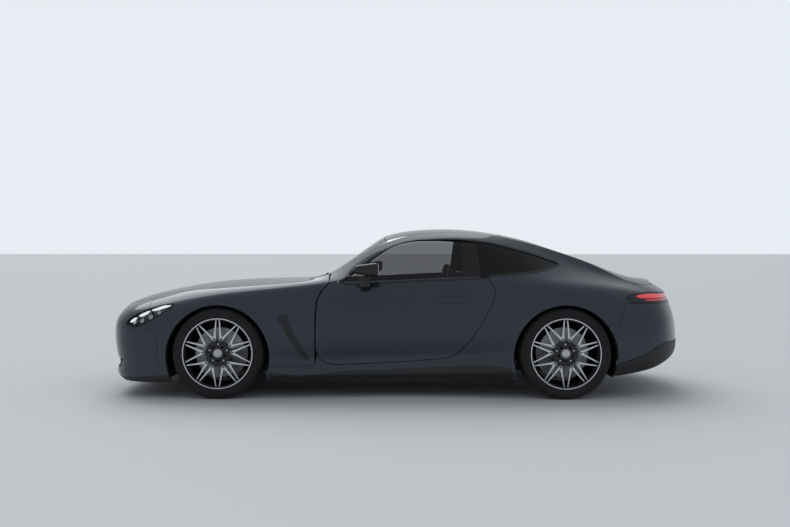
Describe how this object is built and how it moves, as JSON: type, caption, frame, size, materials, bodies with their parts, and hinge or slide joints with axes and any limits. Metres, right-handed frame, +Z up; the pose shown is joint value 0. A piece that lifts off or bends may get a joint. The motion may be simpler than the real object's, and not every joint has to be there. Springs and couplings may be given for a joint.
{
  "type": "two-door coupe car",
  "caption": "Long-nosed two-door coupe with opening doors, hood and tailgate, steered front wheels and a hollow cabin with seats and boot.",
  "frame": {"origin": "on the ground under the middle of the car's length and width", "axes": "+X towards the tail, +Y to the car's right, +Z up; the nose points to -X"},
  "size_m": [4.7316, 2.0956, 1.3417],
  "materials": {
    "body_paint": "metallic gloss",
    "gloss_black": "gloss",
    "roof_glass": "gloss",
    "glass": "polished",
    "dark_glass": "polished",
    "lamp_clear": "polished",
    "lamp_red": "polished",
    "black_plastic": "matt",
    "cabin_plastic": "matt",
    "cabin_leather": "satin",
    "floor_metal": "satin",
    "cast_metal": "rough",
    "engine_metal": "satin",
    "steel": "satin",
    "wheel_alloy": "machined",
    "tyre": "matt"
  },
  "bodies": {
    "body_shell": {"floor_tub": "floor_metal", "front_subframe": "floor_metal", "rear_subframe": "floor_metal", "engine_block": "engine_metal", "exhaust_system": "steel", "body_side_left": "body_paint", "body_side_right": "body_paint", "fender_left": "body_paint", "fender_right": "body_paint", "front_bumper": "body_paint", "front_grille": "gloss_black", "rear_bumper": "body_paint", "rear_diffuser": "black_plastic", "cowl": "black_plastic", "windscreen": "glass", "roof_panel": "roof_glass", "quarter_glass": "dark_glass", "headlights": "lamp_clear", "taillights": "lamp_red", "dashboard": "cabin_plastic", "steering_wheel": "cabin_leather", "centre_console": "cabin_plastic", "front_seats": "cabin_leather", "rear_seats": "cabin_leather", "rear_knuckles": "cast_metal"},
    "hood": {"hood": "body_paint"},
    "tailgate": {"tailgate": "body_paint", "rear_glass": "dark_glass"},
    "door_left": {"door_left": "body_paint", "door_glass_left": "glass", "mirror_left": "gloss_black"},
    "door_right": {"door_right": "body_paint", "door_glass_right": "glass", "mirror_right": "gloss_black"},
    "knuckle_left": {"knuckle_front_left": "cast_metal"},
    "knuckle_right": {"knuckle_front_right": "cast_metal"},
    "wheel_front_left": {"wheel_front_left": "wheel_alloy", "tyre_front_left": "tyre"},
    "wheel_front_right": {"wheel_front_right": "wheel_alloy", "tyre_front_right": "tyre"},
    "wheel_rear_left": {"wheel_rear_left": "wheel_alloy", "tyre_rear_left": "tyre"},
    "wheel_rear_right": {"wheel_rear_right": "wheel_alloy", "tyre_rear_right": "tyre"}
  },
  "joints": [
    {"name": "hood_hinge", "type": "hinge", "parent": "body_shell", "child": "hood", "pos_m": [-0.544, 0, 0.9], "axis": [0, 1, 0], "range_deg": [0, 50]},
    {"name": "tailgate_hinge", "type": "hinge", "parent": "body_shell", "child": "tailgate", "pos_m": [0.736, 0, 1.262], "axis": [0, -1, 0], "range_deg": [0, 60]},
    {"name": "door_left_hinge", "type": "hinge", "parent": "body_shell", "child": "door_left", "pos_m": [-0.527, -0.922, 0.6], "axis": [0, 0, -1], "range_deg": [0, 65]},
    {"name": "door_right_hinge", "type": "hinge", "parent": "body_shell", "child": "door_right", "pos_m": [-0.527, 0.922, 0.6], "axis": [0, 0, 1], "range_deg": [0, 65]},
    {"name": "steering_left", "type": "hinge", "parent": "body_shell", "child": "knuckle_left", "pos_m": [-1.414, -0.8005, 0.355], "axis": [0, 0, 1], "range_deg": [-33, 33]},
    {"name": "steering_right", "type": "hinge", "parent": "body_shell", "child": "knuckle_right", "pos_m": [-1.414, 0.8005, 0.355], "axis": [0, 0, 1], "range_deg": [-33, 33]},
    {"name": "wheel_front_left_spin", "type": "hinge", "parent": "knuckle_left", "child": "wheel_front_left", "pos_m": [-1.414, -0.8005, 0.355], "axis": [0, 1, 0], "continuous": true},
    {"name": "wheel_front_right_spin", "type": "hinge", "parent": "knuckle_right", "child": "wheel_front_right", "pos_m": [-1.414, 0.8005, 0.355], "axis": [0, 1, 0], "continuous": true},
    {"name": "wheel_rear_left_spin", "type": "hinge", "parent": "body_shell", "child": "wheel_rear_left", "pos_m": [1.286, -0.8185, 0.355], "axis": [0, 1, 0], "continuous": true},
    {"name": "wheel_rear_right_spin", "type": "hinge", "parent": "body_shell", "child": "wheel_rear_right", "pos_m": [1.286, 0.8185, 0.355], "axis": [0, 1, 0], "continuous": true}
  ],
  "couplings": [
    {"joint": "steering_right", "follows": "steering_left", "ratio": 1}
  ]
}
